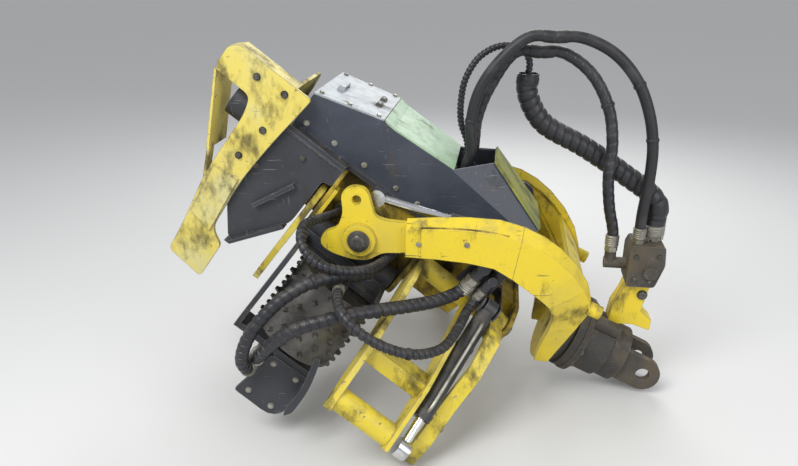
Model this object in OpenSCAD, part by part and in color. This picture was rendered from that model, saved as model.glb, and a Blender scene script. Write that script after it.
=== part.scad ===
// Forestry harvester head, lying as it is parked, with its knives and feed arms open.
// Row frame: origin in the crane pin, +X level from the saw end to the rotator end,
// +Y along the crane pin, +Z up. Lengths in millimetres.
// Head frame: origin on the tilt axis, x along the stem from the saw to the front
// knives, z out of the back of the head, so that the stem runs below z = 0.

/* [Pose] */
// Slope of the head's long axis below level
head_pitch = 37.5; // [34:0.5:41]
// Slope of the rotator's axis below level
rotator_pitch = 24.8; // [22:0.2:28]
// Level distance from the crane pin back to the tilt axis
tilt_back = 985; // [950:1:1040]
// Height of the tilt axis over the crane pin
tilt_up = 580; // [560:1:620]

/* [Main frame] */
// Half width of the frame between tilt axis and front knives
frame_half = 145; // [135:1:155]
// Half width of the frame beside the saw box
rear_half = 240; // [225:1:248]
// Thickness of the frame's plates
plate_t = 16; // [12:1:20]
// Depth of the stem plate below the tilt axis
belly_drop = 110; // [90:1:125]
// Height of the back plate over the tilt axis
back_rise = 125; // [118:1:130]
// Distance from the tilt axis to the rear bulkhead
frame_rear = 440; // [420:1:450]
// Distance from the tilt axis to the front bulkhead
frame_front = 590; // [580:1:620]

/* [Tilt joint] */
// Diameter of the tilt pins
tilt_pin_d = 60; // [50:1:62]
// Diameter of the tilt bosses on the main frame
tilt_boss_d = 126; // [110:1:130]
// Distance from mid-plane to the outer face of the tilt bosses
tilt_boss_y = 250; // [244:1:256]
// Distance from mid-plane to the inner face of the tilt arms
arm_inner = 316; // [310:1:324]
// Width of a tilt arm's box at the tilt axis
arm_w = 44; // [38:1:46]
// Wall of the tilt arms' channels
arm_wall = 14; // [10:1:16]

/* [Rotator] */
// Diameter of the rotator's drum
drum_d = 236; // [200:1:250]
// Diameter of the rotator's flanges
rim_d = 290; // [270:1:300]
// Distance from the crane pin to the rotator's flange
rim_back = 275; // [265:1:300]
// Depth of the black flange stack between tilt frame and rotator
flange_stack = 75; // [60:1:80]
// Distance from the crane pin to the end face of the drum
drum_end = 92; // [85:1:110]
// Bore of the crane pin
crane_pin_d = 50; // [40:1:60]
// Radius of the clevis ears round the crane pin
ear_r = 62; // [50:1:68]
// Thickness of a clevis ear
ear_t = 28; // [22:1:34]
// Free width between the clevis ears
ear_gap = 104; // [90:1:120]

/* [Front knives] */
// Distance of the knife pivots from mid-plane
knife_pivot_y = 190; // [185:1:198]
// Depth of the knife pivots below the tilt axis
knife_pivot_drop = 0; // [0:1:10]
// Position of the front knives' rear face along the stem
knife_x = 515; // [512:1:522]
// Width of a front knife along the stem
knife_w = 50; // [40:1:54]
// Outer diameter of a knife's hub tube
knife_hub_d = 72; // [66:1:74]
// Diameter of a knife's pivot pin
knife_pin_d = 46; // [36:1:52]

/* [Knife cylinders] */
// Diameter of a knife cylinder's barrel
barrel_d = 58; // [50:1:58]
// Diameter of a knife cylinder's rod
rod_d = 30; // [24:1:36]
// Position of the knife cylinders along the stem
cyl_x = 480; // [478:1:482]

/* [Feed rollers] */
// Diameter over a feed roller's drum
roller_d = 280; // [250:1:290]
// Length of a feed roller's drum
roller_len = 250; // [220:1:260]
// Height of a feed roller's spikes
spike_h = 14; // [8:1:16]
// Position of the feed rollers along the stem
roller_x = 40; // [36:1:42]
// Spread of the open feed arms
arm_spread = 12; // [10:1:14]

/* [Saw] */
// Length of the saw bar from its pivot to its tip
bar_len = 600; // [560:1:610]
// Width of the saw bar
bar_w = 92; // [70:1:100]
// Thickness of the saw bar with its chain
bar_t = 12; // [8:1:14]
// Position of the saw bar along the stem
bar_x = -476; // [-480:1:-474]

/* [Covers] */
// Half width of the back cover at its saw end
cover_wide = 205; // [190:1:215]
// Half width of the back cover at its front end
cover_slim = 155; // [152:1:162]
// Thickness of the cover's side plates
cover_t = 10; // [6:1:12]

/* [Clearances] */
// Gap between pieces that lie on each other
seat_gap = 0.3; // [0.2:0.1:0.5]
// Radial clearance of a pin in its hub
run_fit = 0.08; // [0.05:0.01:0.1]
// Free side gap between a moving piece and its neighbour
side_gap = 6; // [5:0.5:7]

/* [Hidden] */

// Sides of a hose's outline
hose_sides = 10;
$fn = 64;

machine_yellow = [0.88, 0.72, 0.12];
worn_yellow = [0.80, 0.68, 0.20];
dark_paint = [0.16, 0.17, 0.18];
bare_metal = [0.62, 0.63, 0.64];
cover_green = [0.62, 0.78, 0.60];
steel = [0.45, 0.45, 0.46];
rubber = [0.05, 0.05, 0.06];
chrome_rod = [0.78, 0.79, 0.80];

// Places the children in the head frame
module head_frame() {
    translate([-tilt_back, 0, tilt_up]) rotate([0, head_pitch, 0]) children();
}

// Places the children at the tilt axis with level axes
module yoke_frame() {
    translate([-tilt_back, 0, tilt_up]) children();
}

// Places the children in the rotator's frame, x along its axis away from the head
module rotator_frame() {
    rotate([0, rotator_pitch, 0]) children();
}

// Near side as drawn, far side mirrored across the mid-plane
module on_side(side) {
    mirror([0, side == "left" ? 1 : 0, 0]) children();
}

// Plate cut to an (x, z) outline, from y0 to y0 + t
module side_plate(points, y0, t) {
    translate([0, y0 + t, 0]) rotate([90, 0, 0]) linear_extrude(t) polygon(points);
}

// Plate cut to a (y, z) outline, from x0 to x0 + t
module cross_plate(points, x0, t) {
    translate([x0, 0, 0]) rotate([90, 0, 90]) linear_extrude(t) polygon(points);
}

// Plate cut to an (x, y) outline, from z0 to z0 + t
module flat_plate(points, z0, t) {
    translate([0, 0, z0]) linear_extrude(t) polygon(points);
}

// Outline with rounded corners from rows of x, y and how far the corner is cut back
function rounded(corners, steps = 4) = [
    for (i = [0 : len(corners) - 1])
        let (
            n = len(corners),
            here = [corners[i][0], corners[i][1]],
            before = [corners[(i + n - 1) % n][0], corners[(i + n - 1) % n][1]] - here,
            after = [corners[(i + 1) % n][0], corners[(i + 1) % n][1]] - here,
            cut = min(corners[i][2], 0.48 * norm(before), 0.48 * norm(after)),
            start = here + cut * before / norm(before),
            end = here + cut * after / norm(after)
        )
        each cut == 0 ? [here] : [
            for (k = [0 : steps])
                let (t = k / steps) (1 - t) * (1 - t) * start + 2 * t * (1 - t) * here + t * t * end
        ]
];

// Flat panel: corners in space, thickened along the normal of the first three
module panel(corners, t) {
    n = len(corners);
    normal = cross(corners[1] - corners[0], corners[2] - corners[0]);
    back = [for (c = corners) c - t * normal / norm(normal)];
    polyhedron(concat(corners, back), concat(
        [[for (i = [0 : n - 1]) n - 1 - i]],
        [[for (i = [0 : n - 1]) n + i]],
        [for (i = [0 : n - 1]) [i, (i + 1) % n, n + (i + 1) % n, n + i]]
    ));
}

// Solid through a row of flat rings with equal numbers of corners
module loft(rings) {
    m = len(rings);
    n = len(rings[0]);
    polyhedron([for (ring = rings) each ring], concat(
        [[for (k = [0 : n - 1]) k]],
        [for (i = [0 : m - 2], k = [0 : n - 1]) [n * i + k, n * i + n + k, n * i + (k + 1) % n]],
        [for (i = [0 : m - 2], k = [0 : n - 1])
            [n * i + (k + 1) % n, n * i + n + k, n * i + n + (k + 1) % n]],
        [[for (k = [0 : n - 1]) n * m - 1 - k]]
    ));
}

function unit(v) = v / norm(v);
// Direction of a route at each of its points
function directions(route) = [
    for (i = [0 : len(route) - 1]) unit(
        (i < len(route) - 1 ? unit(route[i + 1] - route[i]) : [0, 0, 0])
        + (i > 0 ? unit(route[i] - route[i - 1]) : [0, 0, 0])
    )
];
// A side direction carried along a route without twist
function carried(along, i, side) = i == len(along) ? [] :
    let (next = unit(side - (side * along[i]) * along[i])) concat([next], carried(along, i + 1, next));

// Hose of diameter d along a route, one ring at each point
module hose(route, d) {
    along = directions(route);
    side = carried(along, 0, [0.3, 0.5, 0.8]);
    loft([for (i = [0 : len(route) - 1]) [
        for (k = [0 : hose_sides - 1])
            let (a = 360 * k / hose_sides)
            route[i] + d / 2 * (cos(a) * side[i] + sin(a) * cross(along[i], side[i]))
    ]]);
}

// Box given by its lowest and highest corners
module block(low, high) {
    translate(low) cube(high - low);
}

// Round bar along x through (y, z)
module bar_x_at(x0, x1, y, z, d) {
    translate([x0, y, z]) rotate([0, 90, 0]) cylinder(h = x1 - x0, d = d);
}

// Round bar along y through (x, z)
module bar_y_at(y0, y1, x, z, d) {
    translate([x, y1, z]) rotate([90, 0, 0]) cylinder(h = y1 - y0, d = d);
}

// Main frame

hub_rear_x = 206;
lug_x = -172;
feed_pivot = [-205, -116];
rear_pivot = [-187, -20];
roller_off = 110;
roller_top = 80;

// Outline of the long side plates, x, z and corner
frame_side = [
    [-frame_rear, -belly_drop + plate_t, 0], [-frame_rear, back_rise - plate_t, 0],
    [440, back_rise - plate_t, 0], [440, -60, 0], [430, -belly_drop + plate_t, 0]
];
// Half outline of the deck under the cover, x and y
deck_half = [
    [-frame_rear, 0], [-frame_rear, -rear_half], [lug_x, -rear_half], [lug_x + 6, -196],
    [100, -162], [100, -frame_half], [440, -frame_half], [440, 0]
];
// Flared panel beside the saw box, x, z and corner
rear_panel = [
    [-frame_rear, -200, 0], [-frame_rear, back_rise - plate_t, 0], [lug_x, back_rise - plate_t, 0],
    [lug_x, 40, 20], [-206, 40, 20], [-206, -156, 30], [-327, -336, 12], [-350, -336, 12]
];
// Bracket of the knife pin and the feed arm's pin, y, z and corner
front_bracket = [
    [-frame_half, 60, 0], [-knife_pivot_y - 20, 50, 16], [-knife_pivot_y - 50, 0, 24],
    [feed_pivot[0] - 54, feed_pivot[1], 26], [feed_pivot[0], feed_pivot[1] - 48, 30],
    [-frame_half, -belly_drop - 10, 0]
];
// Bracket at the rear end of the feed arm's pin
rear_bracket = [
    [-frame_half, 104, 0], [-rear_half, 104, 0], [-rear_half, -90, 30],
    [feed_pivot[0] - 54, feed_pivot[1], 20], [feed_pivot[0], feed_pivot[1] - 48, 30],
    [-frame_half, -belly_drop - 10, 0]
];
// Upright that carries a tilt cylinder's base
tilt_upright = [
    [336, 60, 10], [376, 330, 30], [398, 350, 14], [440, 350, 14], [464, 330, 20], [462, 60, 10]
];
// Base bracket of a knife cylinder, y and z
knife_foot = [[-120, 90], [-300, 90], [-318, 72], [-318, 44], [-262, 44], [-240, 52], [-120, 52]];
front_bulkhead = [
    [-knife_pivot_y - 46, -42, 20], [-knife_pivot_y - 46, 32, 20], [-150, 72, 20], [150, 72, 20],
    [knife_pivot_y + 46, 32, 20], [knife_pivot_y + 46, -42, 20], [120, -72, 20], [-120, -72, 20]
];
knife_pin_r = knife_pin_d / 2 - run_fit;
feed_pin_r = 25 - run_fit;

module mirrored() {
    children();
    mirror([0, 1, 0]) children();
}

module main_frame() {
    color(machine_yellow) head_frame() difference() {
        union() {
            mirrored() {
                side_plate(rounded(frame_side), -frame_half, plate_t);
                bar_y_at(-tilt_boss_y, -frame_half + 4, 0, 0, tilt_boss_d);
                bar_y_at(-arm_inner - arm_w + 2, -tilt_boss_y + 4, 0, 0, tilt_pin_d - 2 * run_fit);
            }
            // bulkheads between the side plates
            for (x = [-frame_rear, 426])
                block([x, -frame_half + 4, -60], [x + 14, frame_half - 4, back_rise - plate_t]);
        }
        // lightening hole in the side plates
        bar_y_at(-200, 200, 300, 10, 90);
    }
}

module belly_plate() {
    color(machine_yellow) head_frame() difference() {
        block([-frame_rear, -frame_half, -belly_drop], [430, frame_half, -belly_drop + plate_t]);
        // slot for the measuring wheel
        block([-330, -20, -belly_drop - 1], [-164, 56, -belly_drop + plate_t + 1]);
    }
}

module deck_plate() {
    color(dark_paint) head_frame() mirrored() flat_plate(deck_half, back_rise - plate_t, plate_t);
}

module front_nose() {
    color(machine_yellow) head_frame() {
        block([440, -110, -60], [frame_front, 110, 60]);
        cross_plate(rounded(front_bulkhead), frame_front, plate_t);
    }
}

module side_panel(side) {
    color(dark_paint) head_frame() on_side(side) {
        side_plate(rounded(rear_panel), -rear_half, 12);
        // flange along the lower edge, brace and rear wall
        side_plate([[-350, -348], [-327, -348], [-212, -178], [-224, -170], [-334, -336]],
                   -rear_half - 22, 44);
        side_plate([[-345, -176], [-333, -180], [-264, -32], [-276, -26]], -rear_half - 22, 24);
        block([-frame_rear, -rear_half, -belly_drop], [-frame_rear + 14, -frame_half, back_rise - plate_t]);
        block([-345, -rear_half + 6, -60], [-333, -frame_half, 60]);
    }
}

module pin_bracket(side) {
    color(machine_yellow) head_frame() on_side(side) {
        cross_plate(rounded(front_bracket), hub_rear_x - plate_t, plate_t);
        cross_plate(rounded(rear_bracket), lug_x, 14);
        // knife pin, feed arm pin and rear knife pin
        bar_x_at(hub_rear_x - 4, frame_front, -knife_pivot_y, -knife_pivot_drop, 2 * knife_pin_r);
        bar_x_at(lug_x + 6, hub_rear_x - 4, feed_pivot[0], feed_pivot[1], 2 * feed_pin_r);
        bar_x_at(-333, lug_x + 6, rear_pivot[0], rear_pivot[1], 40 - 2 * run_fit);
    }
}

module tilt_stand(side) {
    color(dark_paint) head_frame() on_side(side) {
        side_plate(rounded(tilt_upright), -250, 10);
        block([370, -250, 62], [384, -frame_half, 104]);
        bar_y_at(-tilt_cyl_y - 18, -246, tilt_base[0], tilt_base[1], 30 - 2 * run_fit);
        // base bracket of the knife cylinder
        cross_plate(knife_foot, 444, 6.5);
        cross_plate(knife_foot, 509.5, 4.5);
        block([440, -frame_half, 52], [514, -110, 90]);
        bar_x_at(446, 513, knife_base[0], knife_base[1], 32 - 2 * run_fit);
        // elbows of two hoses, x, top z and diameter
        for (e = [[374, 168, 40], [424, 150, 30]]) {
            bar_y_at(-290 - e[2] / 2, -246, e[0], e[1], e[2]);
            translate([e[0], -290, e[1] - 48]) cylinder(h = 48, d = e[2]);
        }
    }
}

// Bearing of the measuring arm
module wheel_bearing() {
    color(steel) head_frame() {
        bar_y_at(-30, 12, meas_pivot[0], meas_pivot[1], 20 - 2 * run_fit);
        block([-215, -30, -belly_drop + plate_t], [-165, -18, -60]);
    }
}

module lifting_lug() {
    color(machine_yellow) head_frame() difference() {
        cross_plate([[-252, -70], [-252, 30], [-240, 42], [-200, 42], [-200, -70]],
                     lug_x + 14 + seat_gap, 14);
        bar_x_at(-200, -100, -228, 14, 26);
    }
}

module fixed_knife() {
    color(steel) head_frame() cross_plate([
        [-90, 20], [90, 20], [90, -70], [60, -100], [-60, -100], [-90, -70]
    ], frame_front + plate_t, 18);
}

elbow_x = 150;
elbow_z = 180;
elbow_top = 230;

module valve_block() {
    color(steel) head_frame() {
        block([-120, -110, back_rise], [60, 110, back_rise + 90]);
        for (x = [-90, -40, 10]) translate([x, 0, back_rise + 89]) cylinder(h = 30, d = 36);
        // elbows of the hoses, y and diameter
        for (e = [[-50, outer_d], [12, inner_d], [60, thin_d]]) {
            bar_x_at(59, elbow_x + e[1] / 2, e[0], elbow_z, e[1]);
            translate([elbow_x, e[0], elbow_z]) cylinder(h = elbow_top - elbow_z, d = e[1]);
        }
    }
}

// Saw box: near side plate, x, z and corner
saw_top = 239;
saw_side = [
    [-685, 148, 8], [-683, 212, 14], [-655, saw_top, 14], [-382, saw_top, 16], [-408, 26, 90],
    [-418, -137, 60], [-404, -340, 30], [-348, -372, 16], [-343, -523, 16], [-485, -506, 18],
    [-496, -387, 40], [-528, -188, 60], [-529, 60, 30], [-545, 125, 24], [-676, 127, 0]
];
saw_near = -262;
saw_t = 12;

// Flange along the back of the saw box and round its tip, x and z
saw_flange = [
    [-446, saw_top - 1], [-655, saw_top - 1], [-681, 213], [-684, 150], [-674, 150], [-671, 208],
    [-650, saw_top - 11], [-446, saw_top - 11]
];
// Wall that carries the saw, y, z and corner
saw_wall = [
    [saw_near + 1, -90, 0], [saw_near + 1, saw_top - 2, 0], [70, saw_top - 2, 30], [120, 150, 30],
    [120, -90, 0]
];

module saw_box() {
    color(machine_yellow) head_frame() {
        side_plate(rounded(saw_side), saw_near, saw_t);
        // welded doubler on the lower leg
        side_plate([[-516, -141], [-426, -132], [-406, -350], [-497, -328]], saw_near - 8, 9);
        side_plate(saw_flange, saw_near + 1, 79);
        // guard strip outside the bar, wide above and narrow below
        side_plate([[-684, 126], [-674, 126], [-560, -106], [-570, -110]], saw_near + 1, 150);
        side_plate([[-572, -98], [-562, -98], [-490, -262], [-500, -262]], saw_near + 1, 40);
        cross_plate(rounded(saw_wall), -frame_rear - saw_t - seat_gap, saw_t);
    }
}

saw_pivot = [-170, 60];
saw_shaft_d = 40;

module saw_motor() {
    color(dark_paint) head_frame() {
        bar_x_at(-596, bar_x - bar_t / 2 - side_gap, saw_pivot[0], saw_pivot[1], 120);
        bar_x_at(bar_x - bar_t / 2 - side_gap - 1, -frame_rear - saw_t - seat_gap, saw_pivot[0], saw_pivot[1],
                 saw_shaft_d - 2 * run_fit);
        cross_plate([[-240, saw_top - saw_t - seat_gap], [-186, saw_top - saw_t - seat_gap],
                     [-150, 100], [-150, 60], [-240, 60]], -520, 16);
    }
}

module saw_bar() {
    color(steel) head_frame() translate([bar_x, saw_pivot[0], saw_pivot[1]]) rotate([90, 0, 90])
        translate([0, 0, -bar_t / 2]) linear_extrude(bar_t) difference() {
            union() {
                circle(d = bar_w);
                translate([-bar_w / 2, -bar_len + bar_w / 2]) square([bar_w, bar_len - bar_w / 2]);
                translate([0, -bar_len + bar_w / 2]) circle(d = bar_w);
            }
            circle(d = saw_shaft_d);
        }
}

// Covers on the back: top edge of a side plate, x and z, from the saw end
cover_edge = [[-395, 242], [-167, 309], [-125, 305], [110, 319]];
wing_low = [[104, 314], [465, 292]];
wing_high = [[206, -90, 407], [463, -128, 332]];

// Half width of the cover at x
function cover_half(x) = cover_wide + (x + 395) * (cover_slim - cover_wide) / 499;
// Corner of the cover on the near side, raised by dz
function cover_corner(i, dz = 0) =
    [cover_edge[i][0], -cover_half(cover_edge[i][0]), cover_edge[i][1] + dz];
// The same corner on the far side
function cover_far(i, dz = 0) =
    [cover_edge[i][0], cover_half(cover_edge[i][0]), cover_edge[i][1] + dz];

module cover_side(side) {
    color(dark_paint) head_frame() on_side(side) {
        panel([
            [110, -cover_half(110), back_rise + seat_gap], cover_corner(3), cover_corner(2),
            cover_corner(1), cover_corner(0), [-395, -cover_half(-395), back_rise + seat_gap]
        ], cover_t);
        side_plate([wing_low[0], wing_low[1], [474, 112], [104, 112]], -frame_half - seat_gap - cover_t, cover_t);
        // wing that leans in over the hoses
        loft([for (i = [0, 1])
            let (low = [wing_low[i][0], -frame_half - seat_gap - cover_t, wing_low[i][1]], high = wing_high[i])
            [low - [0, 0, 6], high - [0, 0, 6], high + [0, 0, 2], low + [0, 0, 2]]
        ]);
    }
}

module cover_rear_plate() {
    color(bare_metal) head_frame() {
        panel([cover_corner(0, 1), cover_far(0, 1), cover_far(1, 1), cover_corner(1, 1)], 6);
        // carrying lug with its slot
        translate([-340, 0, 255]) rotate([0, -16, 0]) difference() {
            translate([0, -60, 0]) rotate([-90, 0, 0]) linear_extrude(90)
                polygon([[-16, 0], [16, 0], [10, -26], [-10, -26]]);
            translate([-30, -40, 12]) cube([60, 50, 9]);
        }
    }
}

module cover_front_plate() {
    color(cover_green) head_frame() {
        panel([cover_corner(1, 1), cover_far(1, 1), cover_far(2, 1), cover_corner(2, 1)], 6);
        panel([cover_corner(2, 1), cover_far(2, 1), cover_far(3, 1), cover_corner(3, 1)], 6);
    }
}

// Lid between the two wings
module hose_guard() {
    color(worn_yellow) head_frame() loft([for (h = wing_high)
        let (half = -h[1] + 8, low = h[2] + 2 + seat_gap)
        [[h[0], -half, low], [h[0], half, low], [h[0], half, low + 10], [h[0], -half, low + 10]]
    ]);
}

// Tilt frame: sections of an arm from the tilt axis outwards. Columns: top x, top z,
// bottom x, bottom z, outer y, inner y, rise of the inner edge over the outer one.
face_back = rim_back + flange_stack;
// Point on the rotator's face plate, s up from its axis, x and z from the tilt axis
function on_face(s) = [
    tilt_back - face_back * cos(rotator_pitch) + s * sin(rotator_pitch),
    -tilt_up + face_back * sin(rotator_pitch) + s * cos(rotator_pitch)
];
arm_outer = arm_inner + arm_w;
arm_sections = [
    [150, 46, 150, -44, arm_outer, arm_inner, 25],
    [250, 51, 254, -47, arm_outer, arm_inner, 29],
    [345, 52, 345, -53, arm_outer, arm_inner, 33],
    [440, 44, 430, -68, arm_outer - 1, arm_inner, 38],
    [510, 26, 488, -104, arm_outer - 7, arm_inner, 37],
    [570, -4, 535, -142, arm_outer - 17, arm_inner - 10, 36],
    [625, -43, 580, -180, arm_outer - 29, arm_inner - 24, 32],
    [678, -96, 612, -215, arm_outer - 45, arm_inner - 42, 26],
    [720, -156, 626, -252, arm_outer - 66, arm_inner - 62, 18],
    [746, -210, 628, -292, arm_outer - 92, arm_inner - 88, 6],
    [on_face(200)[0], on_face(200)[1], 622, -332, arm_outer - 112, arm_inner - 108, 0],
    [on_face(115)[0], on_face(115)[1], 610, -378, arm_outer - 134, arm_inner - 128, 0],
    [on_face(30)[0], on_face(30)[1], 597, -432, arm_outer - 160, arm_inner - 150, 0],
    [on_face(-78)[0], on_face(-78)[1], 588, -500, arm_outer - 194, arm_inner - 176, 0]
];
// Hub plate with the tilt cylinder's lug, x, z and corner
hub_profile = [
    [190, 60, 0], [190, -38, 0], [70, -44, 30], [28, -74, 30], [-30, -72, 30], [-96, -52, 24],
    [-132, -24, 20], [-120, 18, 24], [-72, 34, 20], [-52, 84, 20], [-58, 152, 26], [-22, 178, 30],
    [26, 170, 28], [40, 120, 24], [50, 78, 16], [84, 66, 20]
];
lug_at = [-7, 131];
// Section at which an arm is welded to the front of the frame
arm_split = 4;

function ring(s, inset, reach) =
    let (
        up = [s[0] - s[2], 0, s[1] - s[3]] / norm([s[0] - s[2], s[1] - s[3]]),
        top = [s[0], 0, s[1]] - inset * up,
        low = [s[2], 0, s[3]] + inset * up
    )
    [
        low - [0, s[4] - inset, 0], low - [0, s[5] - reach, 0],
        top + s[6] * up - [0, s[5] - reach, 0], top - [0, s[4] - inset, 0]
    ];

// Ring of the skin between the arms, 3 mm lower than their upper edge
function skin_ring(s) =
    let (
        up = [s[0] - s[2], 0, s[1] - s[3]] / norm([s[0] - s[2], s[1] - s[3]]),
        top = [s[0], 0, s[1]] - 3 * up,
        side = [0, s[5] + 9, 0]
    )
    [top - side - 17 * up, top + side - 17 * up, top + side, top - side];

// Box of an arm between two of its sections, open on the inner side
module arm_box(first, last) {
    difference() {
        loft([for (i = [first : last]) ring(arm_sections[i], 0, 0)]);
        // channel on the inner side, with two ribs left standing
        difference() {
            loft([for (i = [1 : 8]) ring((arm_sections[i] + arm_sections[i + 1]) / 2, arm_wall, 20)]);
            for (rib = [[400, -70, 0], [600, -110, -40]])
                translate([rib[0], -420, rib[1]]) rotate([0, rib[2] + 10, 0])
                    translate([-6, 0, -200]) cube([12, 300, 400]);
        }
    }
}

module tilt_arm(side) {
    color(machine_yellow) yoke_frame() on_side(side) difference() {
        union() {
            arm_box(0, arm_split);
            side_plate(rounded(hub_profile), -arm_inner - arm_w / 2, arm_w / 2);
            bar_y_at(-arm_inner - arm_w + 8, -arm_inner - arm_w / 2 + 1, 0, 0, 108);
        }
        bar_y_at(-500, 500, 0, 0, tilt_pin_d);
        bar_y_at(-500, 500, lug_at[0], lug_at[1], 30);
    }
}

// Front of the tilt frame between the two arms
module tilt_frame() {
    color(machine_yellow) {
        yoke_frame() mirrored() arm_box(arm_split, 13);
        yoke_frame() loft([for (i = [7 : 13]) skin_ring(arm_sections[i])]);
        // plate that carries the rotator, and its two stubs
        rotator_frame() translate([-face_back - 24, 0, 0]) rotate([0, 90, 0]) cylinder(h = 24, d = rim_d + 8);
        mirrored() rotator_frame() translate([-face_back - 12, -234, 205]) rotate([0, 90, 0])
            cylinder(h = 46, d = 48);
    }
}

// Turned part about the rotator's axis from rows of radius and distance from the crane pin
module turned(rows) {
    rotate([0, 90, 0]) rotate_extrude() polygon(rows);
}

module rotor_flange() {
    color(dark_paint) rotator_frame() turned([
        [0, -face_back + seat_gap], [rim_d / 2, -face_back + seat_gap], [rim_d / 2, -face_back + 22],
        [rim_d / 2 - 16, -face_back + 26], [rim_d / 2 - 16, -face_back + 42],
        [rim_d / 2 - 4, -face_back + 46], [rim_d / 2 - 4, -rim_back - seat_gap], [0, -rim_back - seat_gap]
    ]);
}

module rotator() {
    color(dark_paint) rotator_frame() difference() {
        union() {
            turned([
                [0, -rim_back], [rim_d / 2, -rim_back], [rim_d / 2, -rim_back + 18],
                [drum_d / 2 + 4, -rim_back + 24], [drum_d / 2, -rim_back + 34], [drum_d / 2, -160],
                [drum_d / 2 - 12, -150], [drum_d / 2 - 12, -drum_end], [0, -drum_end]
            ]);
            // port housing beside the top of the drum
            translate([-rim_back + 20, -66, drum_d / 2 - 16]) rotate([0, 90, 0]) cylinder(h = 96, d = 56);
            for (s = [-1, 1]) {
                block([-drum_end - 4, s > 0 ? ear_gap / 2 : -ear_gap / 2 - ear_t, -ear_r],
                      [0, s > 0 ? ear_gap / 2 + ear_t : -ear_gap / 2, ear_r]);
                bar_y_at(s > 0 ? ear_gap / 2 : -ear_gap / 2 - ear_t,
                         s > 0 ? ear_gap / 2 + ear_t : -ear_gap / 2, 0, 0, 2 * ear_r);
            }
        }
        bar_y_at(-200, 200, 0, 0, crane_pin_d);
    }
}

// Point given in the rotator's frame, as x and z of the row frame
function on_rotator(x, z) =
    [x * cos(rotator_pitch) + z * sin(rotator_pitch), -x * sin(rotator_pitch) + z * cos(rotator_pitch)];

// Hose block, x and z of the row frame, and corner
block_foot = 342;
block_head = 495;
hose_block_side = [
    [-95, block_foot, 8], [-95, 470, 6], [-84, block_head, 6], [22, block_head, 10], [27, 425, 12],
    [0, block_foot, 12]
];

module hose_bracket() {
    color(machine_yellow) side_plate([
        on_rotator(-205, drum_d / 2 + seat_gap), on_rotator(-170, drum_d / 2 + seat_gap),
        [-50, 180], [10, 160], [14, 200], [-28, 236], [-6, block_foot - seat_gap],
        [-90, block_foot - seat_gap], [-104, 300], [-128, 250]
    ], -34, 68);
}

module hose_block() {
    color(dark_paint) {
        side_plate(rounded(hose_block_side), -62, 124);
        // elbow of the inner hose and plug on the near side
        bar_x_at(-170, -94, 0, 405, 40);
        translate([-150, 0, 405]) cylinder(h = 45, d = 40);
        bar_y_at(-76, -60, -20, 400, 44);
    }
}

// Feed arms: local frame at the pivot, -z down the arm
module feed_frame(side) {
    head_frame() on_side(side) translate([0, feed_pivot[0], feed_pivot[1]]) rotate([-arm_spread, 0, 0])
        children();
}

// Top corner of the arm beside the front knife
arm_brow = [
    [-roller_off - 90, -74, 0], [-roller_off - 90, -54, 20], [-60, -10, 30], [30, -10, 20],
    [30, -58, 10], [-20, -74, 10]
];
// Motor guard and its hoop, x and z down the arm, and corner
guard_side = [
    [8, -384, 12], [180, -384, 50], [150, -562, 60], [-20, -558, 12]
];
guard_hoop = [
    [112, -270, 10], [132, -268, 14], [164, -370, 60], [168, -470, 30], [150, -496, 10],
    [142, -470, 30], [142, -380, 60]
];
spike_rows = 6;
spikes_round = 14;

// Side of the feed arm's box behind the roller, y and z down the arm, and corner
arm_cheek = [
    [-roller_off - 96, -380, 30], [-roller_off - 96, -60, 40], [-60, -30, 20], [30, -30, 10],
    [30, -58, 0], [-roller_off + 20, -110, 60], [-roller_off + 36, -380, 30]
];
motor_top = -380;
port_y = -190;
port_z = [-404, -452];

module roller_arm(side) {
    color(dark_paint) feed_frame(side) difference() {
        union() {
            bar_x_at(-150, hub_rear_x - plate_t - side_gap, 0, 0, 88);
            block([-150, -roller_off, -74], [170, -10, -54]);
            // lug where the knife hose leaves the arm
            block([20, -roller_off - 125, -75], [60, -roller_off + 10, -42]);
            block([-150, -44, -70], [170, 10, -20]);
            for (x = [-150, 164]) cross_plate(rounded(x < 0 ? arm_cheek : arm_brow), x, 16);
            block([-150, -roller_off - 90, motor_top], [150, -roller_off + 30, motor_top + 20]);
        }
        bar_x_at(-200, 300, 0, 0, 50);
        translate([roller_x, -roller_off, -400]) cylinder(h = 60, d = 62);
    }
}

// Motor under the roller with its guard
module roller_motor(side) {
    color(dark_paint) feed_frame(side) {
        translate([roller_x, -roller_off, motor_top - 90]) cylinder(h = 90 - seat_gap, d = 130);
        translate([roller_x, -roller_off, motor_top - 1])
            cylinder(h = -motor_top + 1 - roller_top - roller_len + 28, d = 60 - 2 * run_fit);
        // hose ports
        for (z = port_z) bar_y_at(port_y, -roller_off, -28, z, 36);
        side_plate(rounded(guard_side), -roller_off - 96, 12);
        block([guard_side[0][0] + 10, -roller_off - 96, motor_top - 14],
              [guard_side[1][0] - 30, -roller_off - 40, motor_top - seat_gap]);
        // hoop of the hose guard
        side_plate(rounded(guard_hoop), -roller_off - 174, 10);
        block([146, -roller_off - 165, -450], [160, -roller_off - 90, -400]);
    }
}

module feed_roller(side) {
    color(steel) feed_frame(side) translate([roller_x, -roller_off, -roller_top - roller_len])
        difference() {
            union() {
                cylinder(h = roller_len, d = roller_d);
                for (row = [0 : spike_rows - 1], k = [0 : spikes_round - 1])
                    rotate([0, 0, (k + row / 2) * 360 / spikes_round])
                        translate([roller_d / 2 - 8, 0, (row + 0.5) * roller_len / spike_rows])
                            rotate([0, 90, 0]) cylinder(h = spike_h + 8, d1 = 30, d2 = 12, $fn = 4);
            }
            translate([0, 0, -1]) cylinder(h = 31, d = 60);
        }
}

// Front knives: (y, z) outline of the band
knife_rib = [
    [-190, 34], [-330, 10], [-560, -160], [-690, -340], [-650, -370], [-480, -200], [-190, -34]
];
knife_eye = [-650, -328];
knife_base = [-285, 60];

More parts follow.
